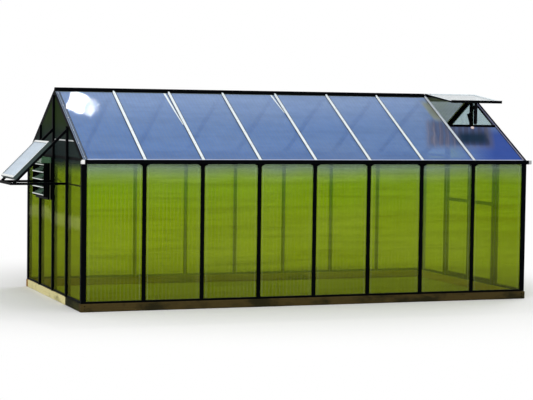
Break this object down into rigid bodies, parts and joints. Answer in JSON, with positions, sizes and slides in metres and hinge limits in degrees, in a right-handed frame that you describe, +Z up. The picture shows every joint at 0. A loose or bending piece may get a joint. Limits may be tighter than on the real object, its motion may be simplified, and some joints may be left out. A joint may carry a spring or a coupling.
{
  "type": "polycarbonate greenhouse",
  "caption": "Long gable-roofed garden greenhouse with twin-wall sheets in a black aluminium frame, on a timber base with an open roof vent.",
  "frame": {"origin": "centre of the plan's outer box, on the ground under the base timbers", "axes": "+X along the ridge towards the gable with the doors, +Z up, -Y towards the slope with the roof vent"},
  "size_m": [5.928, 2.736, 2.3728],
  "materials": {
    "timber": "rough sawn",
    "dark_timber": "rough sawn",
    "roof_sheet": "clear gloss",
    "wall_sheet": "clear gloss",
    "pane_sheet": "clear gloss",
    "louvre_blade": "clear gloss",
    "bright_aluminium": "mill finish",
    "white_plastic": "matte",
    "opener_metal": "satin",
    "grey_frame": "satin",
    "black_fittings": "satin",
    "black_aluminium": "satin powder coat"
  },
  "bodies": {
    "house": {"base_front_timber": "timber", "base_back_timber": "timber", "base_left_timber": "timber", "base_left_end_timber": "dark_timber", "base_right_timber": "timber", "sills": "black_aluminium", "door_threshold": "black_aluminium", "corner_posts": "black_aluminium", "wall_posts": "black_aluminium", "left_gable_studs": "black_aluminium", "right_gable_studs": "black_aluminium", "gable_rails": "black_aluminium", "door_head": "black_aluminium", "eave_beams": "black_aluminium", "gutters": "black_aluminium", "gutter_end_caps": "white_plastic", "ridge_beam": "black_aluminium", "gable_joint_strips": "black_aluminium", "left_rakes": "black_aluminium", "right_rakes": "black_aluminium", "rafters": "black_aluminium", "rafter_caps": "bright_aluminium", "front_wall_sheets": "wall_sheet", "back_wall_sheets": "wall_sheet", "left_gable_sheets": "wall_sheet", "right_gable_sheets": "wall_sheet", "front_roof_sheets": "roof_sheet", "back_roof_sheets": "roof_sheet", "vent_crossbar": "black_aluminium", "vent_frame": "black_aluminium", "vent_sheet": "roof_sheet", "vent_opener": "opener_metal", "louvre_frame": "black_aluminium", "louvre_blades": "louvre_blade", "bracket_arms": "black_aluminium", "bracket_rails": "black_aluminium", "pane_frame": "grey_frame", "pane_sheet": "pane_sheet", "door_hinge_pins": "black_fittings"},
    "front_door_leaf": {"front_leaf_frame": "black_aluminium", "front_leaf_sheets": "wall_sheet", "front_leaf_fittings": "black_fittings"},
    "back_door_leaf": {"back_leaf_frame": "black_aluminium", "back_leaf_sheets": "wall_sheet", "back_leaf_fittings": "black_fittings"}
  },
  "joints": [
    {"name": "front_door_hinge", "type": "hinge", "parent": "house", "child": "front_door_leaf", "pos_m": [2.912, -0.6265, 0.95], "axis": [0, 0, -1], "range_deg": [0, 110]},
    {"name": "back_door_hinge", "type": "hinge", "parent": "house", "child": "back_door_leaf", "pos_m": [2.912, 0.6265, 0.95], "axis": [0, 0, 1], "range_deg": [0, 110]}
  ]
}
